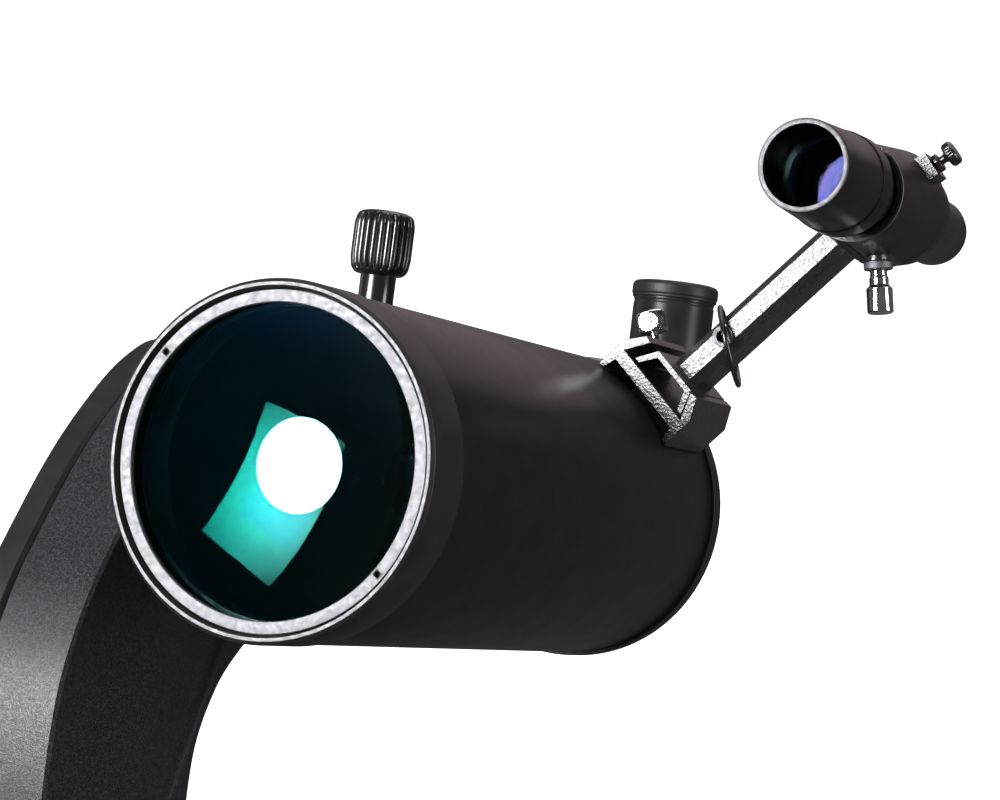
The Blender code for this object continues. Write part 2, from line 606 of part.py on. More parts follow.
def make_shoe(side):
    """side has +Z radially outwards at the shoe and +X round the tube."""
    shoe = plate("finder_shoe", [SHOE_SECTION], -SHOE_REAR, -SHOE_FRONT, "hammered_paint", side,
                 (90, 0, 0))
    lean = math.degrees(math.atan2(75.8 - 66.0, 17.6 - 12.4))
    hub = frame("shoe_lock_axis", (-15.4, SHOE_FRONT + 21.5, 71.0), (0, -lean, 0), side)
    drill = turned("shoe_lock_hole", [(0, 12), (1.9, 12), (1.9, -6), (0, -6)], None, hub, steps=12)
    shape_with(shoe, drill)
    outline = [(0, 15.5), (5.2, 15.5), (5.7, 15), (5.7, 7.6), (5.2, 7.2), (1.6, 7.2), (1.6, -1.5),
               (0, -1.5)]
    turned("shoe_lock_knob", outline, "chrome", hub, steps=16)


def sleeve_radius(station):
    share = (station - SLEEVE_FRONT) / (SLEEVE_REAR - SLEEVE_FRONT)
    return SLEEVE_FRONT_R + share * (SLEEVE_REAR_R - SLEEVE_FRONT_R)


def make_bracket(side, finder):
    """One casting: the dovetail foot, the stalk, and the tapered ring round the scope."""
    mount = frame("finder_bracket_frame", (BRACKET_SHIFT, 0, 0), parent=side)
    top, top_half, low, low_half, wall = 75.7, 10.0, 67.0, 14.3, 1.9
    foot = [(-low_half, low), (-top_half, top), (top_half, top), (low_half, low),
            (low_half - wall - 0.3, low), (top_half - wall + 0.3, top - wall),
            (wall - 0.3 - top_half, top - wall), (wall + 0.3 - low_half, low)]
    bracket = plate("finder_bracket", [foot], -250, -212, "hammered_paint", mount, (90, 0, 0))
    stalk = [(-3.3, 222), (3.3, 222), (6.4, 225.2), (6.4, 240), (-6.4, 240), (-6.4, 225.2)]
    parts = [plate("stalk", [stalk], top - 0.8, FINDER_RADIUS - 18.5, None, mount)]
    parts.append(along_tube("boss", [(0, 220.6), (3.9, 220.6), (3.9, 228), (0, 228)], None, mount,
                            (0, 0, 96.5), 24))
    ring = [(0, SLEEVE_FRONT), (SLEEVE_FRONT_R, SLEEVE_FRONT), (SLEEVE_REAR_R, SLEEVE_REAR),
            (0, SLEEVE_REAR)]
    parts.append(along_tube("sleeve", ring, None, finder, steps=30))
    tools = [along_tube("boss_hole", [(0, 218), (2.3, 218), (2.3, 226), (0, 226)], None, mount,
                        (0, 0, 96.5), 20)]
    bore = [(0, SLEEVE_FRONT - 5), (SLEEVE_FRONT_R - SLEEVE_WALL, SLEEVE_FRONT - 5),
            (SLEEVE_FRONT_R - SLEEVE_WALL, SLEEVE_FRONT), (SLEEVE_REAR_R - SLEEVE_WALL, SLEEVE_REAR),
            (SLEEVE_REAR_R - SLEEVE_WALL, SLEEVE_REAR + 5), (0, SLEEVE_REAR + 5)]
    tools.append(along_tube("sleeve_bore", bore, None, finder, steps=30))
    for name, clock in FINDER_SCREW_CLOCKS.items():
        hub = frame(f"finder_screw_{name}_axis", (0, FINDER_SCREW_STATION, 0), (0, clock, 0), finder)
        wall_r = sleeve_radius(FINDER_SCREW_STATION)
        parts.append(block(f"screw_block_{name}", (-5, -6, wall_r - 2), (5, 6, wall_r + 3.4), None, hub))
        tools.append(turned(f"screw_hole_{name}", [(0, 40), (1.9, 40), (1.9, 10), (0, 10)], None, hub,
                            steps=12))
        adjusting_screw(f"finder_screw_{name}", hub, wall_r + 3.4)
    hub = frame("finder_plunger_axis", (0, PLUNGER_STATION, 0), (0, PLUNGER_CLOCK, 0), finder)
    wall_r = sleeve_radius(PLUNGER_STATION)
    parts.append(turned("plunger_boss", [(0, 25.5), (5.1, 25.5), (5.1, 22.8), (4.3, 22.2), (4.3, wall_r - 2),
                                         (0, wall_r - 2)], None, hub, steps=24))
    tools.append(turned("plunger_hole", [(0, 40), (2.4, 40), (2.4, 10), (0, 10)], None, hub, steps=16))
    for part in parts:
        shape_with(bracket, part, "UNION")
    for tool in tools:
        shape_with(bracket, tool)
    plunger = [(0, 42), (4.2, 42), (4.9, 41.6), (4.9, 32.6), (3.5, 31.6), (3.2, 25.8), (2.1, 25.8),
               (2.1, FINDER_TUBE_R + 0.9), (1.4, FINDER_TUBE_R + GAP), (0, FINDER_TUBE_R + GAP)]
    turned("finder_plunger", plunger, "chrome", hub, steps=24)


def adjusting_screw(name, hub, seat):
    """A thumbscrew with its lock ring, standing on the block's outer face."""
    head = [(0, seat + 9.4), (4, seat + 9.4), (4.8, seat + 8.6), (4.8, seat + 6.2), (4, seat + 5.4),
            (2.2, seat + 5.4), (1.6, seat + 4.4), (1.6, FINDER_TUBE_R + GAP), (0, FINDER_TUBE_R + GAP)]
    turned(name, head, "black_plastic", hub, steps=16)
    lock = [(1.9, seat + 2.6), (3.2, seat + 2.6), (3.6, seat + 2.2), (3.6, seat + 0.7), (3.2, seat + GAP),
            (1.9, seat + GAP)]
    turned(name + "_lock_ring", lock, "black_plastic", hub, steps=16)


def make_spare_ring(front):
    """A second O-ring, kept on the stalk; it leans against the boss side of the bar."""
    clock = math.radians(SHOE_CLOCK + 1)
    radius, wire = 15.2, 1.0
    angles = [-math.pi * k / 3 for k in range(6)]
    section = [(radius + wire * math.cos(a), wire * math.sin(a)) for a in angles]
    at = (93 * math.sin(clock), 231, 93 * math.cos(clock))
    turned("spare_o_ring", section, "black_rubber", front, at, (0, 70, 15), 24)


def make_finder_scope(finder):
    dew = [(16.4, FINDER_FRONT), (16.6, FINDER_FRONT + 0.3), (18.3, FINDER_SEAM - 0.4),
           (18.0, FINDER_SEAM), (18.7, FINDER_SEAM + 0.4), (19.0, FINDER_STEP - 1), (18.4, FINDER_STEP),
           (15.4, FINDER_STEP), (15.4, 176), (16.2, 176), (15.2, 158), (14.6, FINDER_FRONT)]
    along_tube("finder_objective_cell", dew, "black_paint", finder, steps=32)
    lens = [(0, 168.2), (8, 168.6), (15.2, 169.8), (15.2, 174.6), (8, 175.4), (0, 175.6)]
    along_tube("finder_objective", lens, "glass", finder)
    body = [(13.4, 177), (FINDER_TUBE_R, 177), (FINDER_TUBE_R, 250), (13.4, 250)]
    along_tube("finder_tube", body, "black_paint", finder, steps=30)
    eyepiece = [(13, 250.3), (19, 250.3), (19.5, 251), (19.5, 259), (18.5, 261.5), (13.4, 268),
                (13.4, 307.5), (12.6, 309), (9.5, 309), (9.5, 304), (11.5, 302), (11.5, 266), (13, 262)]
    along_tube("finder_eyepiece", eyepiece, "black_plastic", finder, steps=30)
    section = [(15.75 + 0.45 * math.cos(a), 200.2 - 0.45 * math.sin(a))
               for a in [math.pi * k / 4 for k in range(8, 0, -2)]]
    along_tube("finder_o_ring", section, "black_rubber", finder, steps=30)


def main():
    clear_scene()
    ground = frame("base_frame", (0, 0, 0))
    make_base(ground)
    turret = frame("azimuth_axis", (0, 0, 0), parent=ground)
    make_drum(turret)
    make_panel(turret)
    make_azimuth_drive(turret)
    hub = frame("arm_frame", ALTITUDE_AXIS, parent=turret)
    make_arm(hub)
    pivot = frame("altitude_axis", (0, 0, 0), (-TUBE_PITCH, 0, 0), hub)
    make_saddle(pivot)
    front = frame("front", (0, -ALTITUDE_STATION, 0), parent=pivot)
    make_tube(front)
    make_dovetail(front)
    make_rear(front)
    make_diagonal(front)
    side = frame("shoe_frame", (0, 0, 0), (0, SHOE_CLOCK, 0), front)
    make_shoe(side)
    make_spare_ring(front)
    finder = frame("finder_axis", (BRACKET_SHIFT, 0, FINDER_RADIUS), parent=side)
    make_bracket(side, finder)
    make_finder_scope(finder)
    bpy.context.view_layer.update()


main()
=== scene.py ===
"""Looks of the Maksutov telescope on its mount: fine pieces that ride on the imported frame.

Lengths are millimetres in the part's own sub-frames; MM turns them into metres.
A "station" is the distance behind the front rim, along the optical axis.
"""

import json
import math

import bmesh
import bpy
from mathutils import Matrix, Vector


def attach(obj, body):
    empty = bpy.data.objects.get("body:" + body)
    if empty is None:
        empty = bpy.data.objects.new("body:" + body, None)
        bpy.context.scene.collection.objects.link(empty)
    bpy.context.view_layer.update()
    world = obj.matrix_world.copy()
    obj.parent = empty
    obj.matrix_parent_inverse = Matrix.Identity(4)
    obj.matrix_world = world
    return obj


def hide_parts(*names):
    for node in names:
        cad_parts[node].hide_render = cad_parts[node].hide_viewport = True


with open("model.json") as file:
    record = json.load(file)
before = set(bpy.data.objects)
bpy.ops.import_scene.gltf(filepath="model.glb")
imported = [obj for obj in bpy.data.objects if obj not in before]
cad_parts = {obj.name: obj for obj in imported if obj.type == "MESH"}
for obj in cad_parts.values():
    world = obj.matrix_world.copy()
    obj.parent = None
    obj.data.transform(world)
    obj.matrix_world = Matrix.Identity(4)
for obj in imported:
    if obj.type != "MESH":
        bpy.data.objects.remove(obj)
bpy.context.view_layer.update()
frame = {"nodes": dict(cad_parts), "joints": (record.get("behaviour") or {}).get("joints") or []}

# Where the CAD part has its sub-frames
MM = 0.001
GAP = 0.3  # between pieces that touch
TUBE_PITCH = 17.1
ALTITUDE_STATION = 170.0
SHOE_CLOCK = 43.0  # degrees round the tube from its top towards +X
BRACKET_SHIFT, FINDER_RADIUS = 1.5, 172.5
HOLDER_STATION, HOLDER_ROLL = 341.0, -0.4
KNOB_X, KNOB_STATION = -71.0, 202.0
FOCUS_X, FOCUS_Z = 27.0, -27.0
BACK = 264.7  # station of the rear cell's back

# Finder: the tapered ring, its two screws and its plunger
SLEEVE_FRONT, SLEEVE_LENGTH = 198.5, 42
SLEEVE_FRONT_R, SLEEVE_TAPER = 18.5, 4.1
SCREW_STATION, PLUNGER_STATION = 232, 225
SCREW_CLOCKS = (("a", 7.0), ("b", -113.0))
PLUNGER_CLOCK = 127
BOSS_HEIGHT = 96.5
SPARE_RING_HEIGHT, SPARE_RING_STATION = 93, 231.7
REST_R = 15.3  # the screws' tips stop here, just off the finder's tube


def turn(axis, degrees):
    return Matrix.Rotation(math.radians(degrees), 4, axis)


def move(x, y, z):
    return Matrix.Translation(Vector((x, y, z)) * MM)


def joint(name):
    return next(j for j in frame["joints"] if j["name"] == name)


ALTITUDE = Matrix.Translation(joint("altitude")["pos_m"])
PIVOT = ALTITUDE @ turn("X", -TUBE_PITCH)
FRONT = PIVOT @ move(0, -ALTITUDE_STATION, 0)
SIDE = FRONT @ turn("Y", SHOE_CLOCK)
FINDER = SIDE @ move(BRACKET_SHIFT, 0, FINDER_RADIUS)
DIAGONAL = FRONT @ move(0, HOLDER_STATION, 0) @ turn("Y", HOLDER_ROLL)
BACKWARDS = turn("X", 90)  # a lathe's height, negated, becomes a station


# Materials: every one is procedural, in millimetres of the piece's own space

class Finish:
    """A node tree round one Principled BSDF, with a few ready-made patterns."""

    def __init__(self, name, colour, roughness, metallic=0.0, **sockets):
        self.made = bpy.data.materials.new(name)
        self.made.use_nodes = True
        self.tree = self.made.node_tree
        self.shader = self.tree.nodes["Principled BSDF"]
        self.colour = colour
        self.roughness = roughness
        self.put("Base Color", (*colour, 1))
        self.put("Roughness", roughness)
        self.put("Metallic", metallic)
        for socket, value in sockets.items():
            self.put(socket.replace("_", " "), value)
        self.space = self.node("ShaderNodeTexCoord").outputs["Object"]
        self.height = None

    def put(self, socket, value):
        self.shader.inputs[socket].default_value = value

    def node(self, kind, **settings):
        made = self.tree.nodes.new(kind)
        for key, value in settings.items():
            setattr(made, key, value)
        return made

    def link(self, out, into):
        self.tree.links.new(out, into)

    def stretched(self, scale):
        """The piece's coordinates multiplied by a scale for each axis."""
        mapping = self.node("ShaderNodeMapping")
        self.link(self.space, mapping.inputs["Vector"])
        mapping.inputs["Scale"].default_value = scale
        return mapping.outputs["Vector"]

    def noise(self, size, detail=3.0, stretch=(1, 1, 1)):
        """Noise whose features are about size mm across, from 0 to 1."""
        made = self.node("ShaderNodeTexNoise")
        made.inputs["Scale"].default_value = 1 / (size * MM)
        made.inputs["Detail"].default_value = detail
        self.link(self.stretched(stretch), made.inputs["Vector"])
        return made.outputs["Fac"]

    def cells(self, size, smooth=0.0, feature="F1"):
        made = self.node("ShaderNodeTexVoronoi", feature=feature)
        made.inputs["Scale"].default_value = 1 / (size * MM)
        if feature == "SMOOTH_F1":
            made.inputs["Smoothness"].default_value = smooth
        self.link(self.space, made.inputs["Vector"])
        return made

    def span(self, value, low, high, source=(0.3, 0.7)):
        """Map a 0 to 1 pattern onto a range of numbers."""
        made = self.node("ShaderNodeMapRange")
        self.link(value, made.inputs["Value"])
        for socket, number in zip(("From Min", "From Max", "To Min", "To Max"), (*source, low, high)):
            made.inputs[socket].default_value = number
        return made.outputs["Result"]

    def mottle(self, pattern, other, source=(0.35, 0.65)):
        """Colour runs from the base to the other colour along a pattern."""
        ramp = self.node("ShaderNodeValToRGB")
        ramp.color_ramp.elements[0].position = source[0]
        ramp.color_ramp.elements[1].position = source[1]
        ramp.color_ramp.elements[0].color = (*self.colour, 1)
        ramp.color_ramp.elements[1].color = (*other, 1)
        self.link(pattern, ramp.inputs["Fac"])
        self.link(ramp.outputs["Color"], self.shader.inputs["Base Color"])
        return self

    def gloss(self, pattern, low, high):
        self.link(self.span(pattern, low, high), self.shader.inputs["Roughness"])
        return self

    def relief(self, pattern, depth, strength=1.0):
        """Bump of depth mm; a second call adds to the first."""
        bump = self.node("ShaderNodeBump")
        bump.inputs["Strength"].default_value = strength
        bump.inputs["Distance"].default_value = depth * MM
        self.link(pattern, bump.inputs["Height"])
        if self.height is not None:
            self.link(self.height, bump.inputs["Normal"])
        self.height = bump.outputs["Normal"]
        self.link(self.height, self.shader.inputs["Normal"])
        return self


def textured(name, colour, other, rough, grain, depth, **sockets):
    """Paint or moulding with a fine grain and a slow drift in colour and gloss."""
    made = Finish(name, colour, rough, **sockets)
    made.mottle(made.noise(9), other)
    made.gloss(made.noise(14, 4), rough - 0.03, rough + 0.03)
    return made.relief(made.noise(grain, 2), depth)


def hammered(name, size, depth):
    """Glossy paint with rounded dimples of about size mm."""
    made = Finish(name, (0.006, 0.0054, 0.0052), 0.3, Specular_IOR_Level=0.66)
    # The colour is darkest at the bottom of each dimple and lighter towards its rim: painted shade in the
    # dimples.
    made.mottle(made.cells(size).outputs["Distance"], (0.014, 0.013, 0.0135), (0.2, 0.8))
    made.gloss(made.noise(size * 2), 0.27, 0.38)
    made.relief(made.cells(size, 0.35, "SMOOTH_F1").outputs["Distance"], depth)
    return made.relief(made.noise(size * 2.4, 2), depth)


def sparkling(name, colour, other, size, depth):
    """Grainy moulding with tiny brighter flakes."""
    made = Finish(name, colour, 0.4, 0.25, Specular_IOR_Level=0.3)
    made.mottle(made.cells(size).outputs["Color"], other, (0.35, 0.95))
    made.gloss(made.noise(size * 3), 0.34, 0.5)
    return made.relief(made.cells(size).outputs["Distance"], depth)


def plated(name, colour, rough, streak=(1, 1, 1)):
    """Metal with faint drifts in tone and gloss, drawn out along the streak's small axes."""
    made = Finish(name, colour, rough, 1.0)
    made.mottle(made.noise(3, 3, streak), tuple(c * 0.86 for c in colour))
    made.gloss(made.noise(2, 3, streak), rough * 0.88, rough * 1.15)
    return made.relief(made.noise(0.7, 2, streak), 0.004)


def coated(name, tint, level=0.3):
    """Clear glass whose surface reflection has a coating's tint."""
    made = Finish(name, (0.6, 0.96, 0.95), 0.0, Transmission_Weight=1.0, IOR=1.5,
                  Specular_Tint=(*tint, 1), Specular_IOR_Level=level)
    made.gloss(made.noise(25, 2), 0.0, 0.012)
    return made.relief(made.noise(60, 1), 0.004, 0.2)


F = {
    "tube": textured("tube_paint", (0.0045, 0.0039, 0.0037), (0.0062, 0.0054, 0.0052), 0.33, 0.5, 0.006,
                     Specular_IOR_Level=0.18),
    "cell": textured("cell_paint", (0.007, 0.0062, 0.006), (0.0095, 0.0085, 0.0082), 0.42, 0.55, 0.05,
                     Specular_IOR_Level=0.2),
    "black": textured("satin_black", (0.005, 0.0045, 0.0044), (0.007, 0.0064, 0.0062), 0.28, 0.6, 0.01,
                      Specular_IOR_Level=0.25),
    "inside": textured("flat_black", (0.003, 0.003, 0.003), (0.005, 0.005, 0.005), 0.75, 0.6, 0.03,
                       Specular_IOR_Level=0.05),
    "crinkle": textured("crinkle_black", (0.0075, 0.0062, 0.0056), (0.0105, 0.0088, 0.008), 0.42, 0.8, 0.07,
                        Specular_IOR_Level=0.22),
    "gloss": textured("gloss_black", (0.006, 0.0056, 0.0058), (0.009, 0.0084, 0.0088), 0.17, 0.9, 0.008,
                      Specular_IOR_Level=0.45),
    "satin": textured("anodised_black", (0.009, 0.008, 0.0088), (0.012, 0.011, 0.012), 0.31, 0.6, 0.006,
                      Specular_IOR_Level=0.13),
    "moulded": textured("moulded_black", (0.006, 0.0056, 0.0056), (0.009, 0.0084, 0.0084), 0.3, 0.7, 0.015,
                        Specular_IOR_Level=0.25),
    "rubber": textured("soft_rubber", (0.006, 0.0053, 0.0053), (0.0085, 0.0076, 0.0076), 0.5, 0.35, 0.02,
                       Specular_IOR_Level=0.3),
    "shell": textured("arm_edge", (0.007, 0.0066, 0.0074), (0.01, 0.0094, 0.0106), 0.42, 0.7, 0.03,
                      Specular_IOR_Level=0.22),
    "hammer": hammered("hammered_paint", 1.05, 0.1),
    "flake": sparkling("metallic_grey", (0.006, 0.0058, 0.0068), (0.03, 0.03, 0.038), 0.4, 0.05),
    # Grey metal. On the retaining ring, the boss's front face, the plunger's collar and the sleeve's front
    # edge it is a painted reflection: it stands in for the key light mirrored by black paint.
    "silver": plated("grey_metal_and_painted_sheen", (0.13, 0.13, 0.138), 0.6),
    "chrome": plated("polished_chrome", (0.82, 0.82, 0.84), 0.07),
    "steel": plated("machined_steel", (0.5, 0.5, 0.51), 0.28, (1, 1, 9)),
    "brass": plated("machined_brass", (0.68, 0.48, 0.2), 0.26, (1, 1, 9)),
    "mirror": plated("aluminised_glass", (0.93, 0.93, 0.95), 0.24),
    "glass": coated("green_coated_glass", (0.0, 0.34, 0.27)),
    "glass_rear": coated("teal_coated_glass", (0.0, 0.15, 0.5), 0.16),
    "violet": coated("violet_coated_glass", (0.42, 0.34, 1.0), 0.5),
    "violet_front": coated("dark_coated_glass", (0.03, 0.02, 0.08), 0.12),
    "prism": coated("prism_glass", (0.9, 0.95, 1.0)),
    "board": textured("circuit_board", (0.01, 0.09, 0.035), (0.014, 0.12, 0.05), 0.4, 1.2, 0.03),
}
F["silver"].relief(F["silver"].noise(0.35, 2), 0.01)


# Shapes

def finish_mesh(name, shape, at, body, finishes, replaced=(), sharp=32):
    """Make the object, shade it, and tie it to its body and to the nodes it stands for."""
    mesh = bpy.data.meshes.new(name)
    bmesh.ops.recalc_face_normals(shape, faces=shape.faces)
    shape.to_mesh(mesh)
    shape.free()
    for each in finishes:
        mesh.materials.append(F[each].made)
    for face in mesh.polygons:
        face.use_smooth = True
    mesh.set_sharp_from_angle(angle=math.radians(sharp))
    item = bpy.data.objects.new(name, mesh)
    bpy.context.scene.collection.objects.link(item)
    item.matrix_world = at
    if body:
        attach(item, body)
    if replaced:
        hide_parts(*replaced)
    return item


def rounded(points, radius, parts=3, closed=True):
    """Round each corner of an outline with a short arc."""
    made = []
    count = len(points)
    for i, here in enumerate(points):
        here = Vector(here)
        if not closed and i in (0, count - 1):
            made.append(tuple(here))
            continue
        before = Vector(points[i - 1]) - here
        after = Vector(points[(i + 1) % count]) - here
        reach = min(radius, before.length * 0.42, after.length * 0.42)
        if reach < 0.02 or before.angle(after) > math.radians(172):
            made.append(tuple(here))
            continue
        start = here + before.normalized() * reach
        end = here + after.normalized() * reach
        for k in range(parts + 1):
            t = k / parts
            made.append(tuple(start * (1 - t) ** 2 + here * 2 * t * (1 - t) + end * t * t))
    return made


def lathe(name, outline, at, body, finish, replaced=(), steps=160, soft=0.25, grip=None, slot=None):
    """Revolve (radius, height) points; an outline that starts on the axis is open there.

    soft is the radius of the corners. grip = (ribs, depth, low, high) presses grooves into the
    side between two heights.
    """
    closed = outline[0][0] > 0
    points = rounded(outline, soft, closed=closed) if soft else outline
    if grip:
        points = divided(points, closed)
    shape = bmesh.new()
    rings = []
    for r, z in points:
        if r <= 1e-6:
            rings.append([shape.verts.new((0, 0, z * MM))])
            continue
        ring = []
        for k in range(steps):
            angle = 2 * math.pi * k / steps
            here = r - (groove(angle, z, grip) if grip else 0)
            ring.append(shape.verts.new((here * MM * math.cos(angle), here * MM * math.sin(angle), z * MM)))
        rings.append(ring)
    pairs = list(zip(rings, rings[1:])) + ([(rings[-1], rings[0])] if closed else [])
    for first, other in pairs:
        for k in range(steps):
            corners = [first[k % len(first)], first[(k + 1) % len(first)],
                       other[(k + 1) % len(other)], other[k % len(other)]]
            shape.faces.new(list(dict.fromkeys(corners)))
    return finish_mesh(name, shape, at, body, [finish], replaced)


def divided(points, closed, longest=1.2):
    """Add points along long sides, so that grooves can fade out."""
    made = []
    for a, b in zip(points, points[1:] + points[:1] * closed):
        parts = max(1, int((Vector(b) - Vector(a)).length / longest))
        made += [tuple(Vector(a).lerp(Vector(b), k / parts)) for k in range(parts)]
    return made if closed else made + [points[-1]]


def groove(angle, z, grip):
    """How deep a grip's grooves are at an angle and a height; they fade out over 1 mm."""
    ribs, depth, low, high = grip
    ends = min(1, max(0, (z - low) / 1.0)) * min(1, max(0, (high - z) / 1.0))
    return depth * ends * (1 - abs(math.sin(ribs * angle / 2)) ** 0.7)


def along(name, outline, origin, body, finish, replaced=(), at=(0, 0, 0), **more):
    """A turned piece given as (radius, station) points on an axis parallel to the tube's."""
    flipped = [(r, -station) for r, station in outline]
    return lathe(name, flipped, origin @ move(*at) @ BACKWARDS, body, finish, replaced, **more)


def across(name, outline, origin, body, finish, replaced=(), at=(0, 0, 0), **more):
    """A turned piece whose heights run along +X."""
    return lathe(name, outline, origin @ move(*at) @ turn("Y", 90), body, finish, replaced, **more)


def slab(name, loop, low, high, at, body, finish, replaced=(), bevel=0.6):
    """An outline of (x, y) points raised from low to high along z, with rounded rims."""
    shape = bmesh.new()
    rims = []
    levels = ((bevel, low), (0, low + bevel), (0, high - bevel), (bevel, high)) if bevel else (
        (0, low), (0, high))
    for depth, z in levels:
        ring = shrunk(loop, depth)
        rims.append([shape.verts.new((x * MM, y * MM, z * MM)) for x, y in ring])
    count = len(loop)
    for first, other in zip(rims, rims[1:]):
        for k in range(count):
            shape.faces.new((first[k], first[(k + 1) % count], other[(k + 1) % count], other[k]))
    for rim in (rims[0], rims[-1]):
        shape.faces.new(rim)
    return finish_mesh(name, shape, at, body, [finish], replaced)


def shrunk(loop, distance):
    """Move each side of a loop inwards."""
    if not distance:
        return loop
    area = sum(a[0] * b[1] - b[0] * a[1] for a, b in zip(loop, loop[1:] + loop[:1]))
    side = 1 if area < 0 else -1
    made = []
    for i, here in enumerate(loop):
        here = Vector(here)
        into = (here - Vector(loop[i - 1])).normalized()
        out = (Vector(loop[(i + 1) % len(loop)]) - here).normalized()
        first = Vector((into.y, -into.x)) * side
        second = Vector((out.y, -out.x)) * side
        middle = (first + second).normalized()
        made.append(tuple(here + middle * distance / max(0.4, middle.dot(first))))
    return made


def smooth_loop(points, sharp, parts):
    """A Catmull-Rom curve through closed points; the segment after a sharp index is straight."""
    loop = []
    count = len(points)
    for i in range(count):
        a, b, c, d = (Vector(points[(i + k) % count]) for k in (-1, 0, 1, 2))
        if i in sharp:
            loop.append(tuple(b))
            continue
        if (i - 1) % count in sharp:
            a = b * 2 - c
        if (i + 1) % count in sharp:
            d = c * 2 - b
        for step in range(parts):
            t = step / parts
            point = 0.5 * (2 * b + (c - a) * t + (2 * a - 5 * b + 4 * c - d) * t**2
                           + (3 * b - a - 3 * c + d) * t**3)
            loop.append(tuple(point))
    return loop


def drilled(item, tools):
    """Cut the tools out of item for good and remove them."""
    for tool in tools:
        change = item.modifiers.new("cut", "BOOLEAN")
        change.solver = "EXACT"
        change.object = tool
    graph = bpy.context.evaluated_depsgraph_get()
    mesh = bpy.data.meshes.new_from_object(item.evaluated_get(graph))
    item.modifiers.clear()
    item.data = mesh
    for tool in tools:
        bpy.data.objects.remove(tool, do_unlink=True)
    return item


def dressed(node, finish, bevel=0.3, segments=2, angle=34):
    """Keep a CAD node's shape; give it a finish and softly broken edges."""
    item = frame["nodes"][node]
    if not item.material_slots:
        item.data.materials.append(F[finish].made)
    for holder in item.material_slots:
        holder.material = F[finish].made
    for face in item.data.polygons:
        face.use_smooth = True
    weld = item.modifiers.new("weld", "WELD")
    weld.merge_threshold = 2e-6
    if bevel:
        edge = item.modifiers.new("broken edges", "BEVEL")
        edge.width = bevel * MM
        edge.segments = segments
        edge.limit_method = "ANGLE"
        edge.angle_limit = math.radians(angle)
    item.modifiers.new("flat faces", "WEIGHTED_NORMAL")
    return item


# Optical tube

def lens_curve(radius, vertex, edge_r, count=24):
    """Stations of a lens surface whose rim lies ahead of its vertex."""
    offs = [edge_r * i / count for i in range(count + 1)]
    return [(off, vertex - (radius - math.sqrt(radius**2 - off**2))) for off in offs]


def make_tube():
    along("tube_smooth", [(58.1, 22.8), (58.1, 256.3), (56.3, 256.3), (56.3, 22.8)], FRONT, "telescope",
          "tube", ["tube"], steps=240, soft=0.2, slot="black_paint")
    cell = [(56.3, 0), (57.5, 0), (58.73, 1.2), (58.73, 22.5), (56, 22.5), (56, 31), (52.4, 31),
            (52.4, 16.3), (53.8, 16.3), (53.8, 4.2), (55.6, 4.2), (55.6, 2.2)]
    along("front_cell_smooth", cell, FRONT, "telescope", "cell", ["front_cell"], steps=240, soft=0.22,
          slot="black_paint")
    along("lip_band", [(56.35, -0.02), (57.45, -0.02), (57.45, 0.12), (56.35, 0.12)], FRONT,
          "telescope", "silver", steps=240, soft=0.05, slot="silver")
    # The retaining ring is black paint; its grey metal finish stands in for the key light's reflection on
    # it, a painted reflection.
    ring = [(51, 2.2), (51.3, 1.93), (55, 1.93), (55.27, 2.2), (55.27, 3.9), (51, 3.9)]
    band = along("retaining_ring_smooth", ring, FRONT, "telescope", "silver",
                 ["corrector_retaining_ring"], steps=240, soft=0.12, slot="silver")
    spanner_holes = {"2": (-42.9, 0, 31.2), "1": (42.9, 0, -31.2)}
    drills = [along(f"spanner_drill_{number}", [(0, 1), (1, 1), (1, 3.3), (0, 3.3)], FRONT, None,
                    "inside", at=at, steps=32, soft=0) for number, at in spanner_holes.items()]
    drilled(band, drills)
    lining = [(0, 3.24), (0.97, 3.24), (0.97, 2.05), (0.9, 2.05), (0.9, 3.1), (0, 3.1)]
    for number, at in spanner_holes.items():
        along(f"spanner_hole_{number}", lining, FRONT, "telescope", "inside", at=at, steps=32, soft=0)
    front = lens_curve(129.2, 16, 53.5)
    rear = lens_curve(112.0, 27.6, 53.5)
    lens = along("corrector_smooth", front + rear[::-1], FRONT, "telescope", "glass",
                 ["corrector_lens"], steps=160, soft=0, slot="glass")
    lens.data.materials.append(F["glass_rear"].made)
    for face in lens.data.polygons:
        station = -face.center.z / MM
        off = math.hypot(face.center.x, face.center.y) / MM
        middle = 21.8 - off**2 / 238  # between the two lens surfaces
        face.material_index = int(station > middle)
    spot = lens_curve(112.0, 27.95, 16.3, 8) + lens_curve(112.0, 28.6, 16.3, 8)[::-1]
    along("secondary_smooth", spot, FRONT, "telescope", "mirror", ["secondary_mirror"], steps=96,
          soft=0, slot="mirror")
    cell = [(56, 248), (56, 256.6), (59.3, 256.6), (59.3, BACK - 1), (58.3, BACK), (31, BACK),
            (30, BACK), (13.3, BACK), (13.3, BACK - 4), (54, BACK - 4), (54, 248)]
    along("rear_cell_smooth", cell, FRONT, "telescope", "cell", ["rear_cell"], steps=240, soft=0.4,
          slot="black_paint")
    seat = [(16.2, BACK + GAP), (23, BACK + GAP), (24, 266), (24, 270), (20, 272), (20, 284), (16.2, 284)]
    along("visual_back_smooth", seat, FRONT, "telescope", "black", ["visual_back"], steps=120, soft=0.4,
          slot="black_paint")
    grip = [(0, 286), (9.7, 286), (10.5, 285.2), (10.5, 269.1), (9.7, 268.3), (0, 268.3)]
    along("focus_knob_smooth", grip, FRONT, "focus_control", "rubber", ["focus_knob"],
          at=(FOCUS_X, 0, FOCUS_Z), steps=240, soft=0.8, grip=(24, 0.8, -285.2, -269.1),
          slot="black_rubber")
    dressed("baffle_tube", "inside", 0)
    dressed("primary_mirror", "mirror", 0.2)
    dressed("mirror_carrier", "brass", 0.2)
    dressed("focus_screw", "steel", 0.2)
    dressed("dovetail_bar", "black", 0.6)


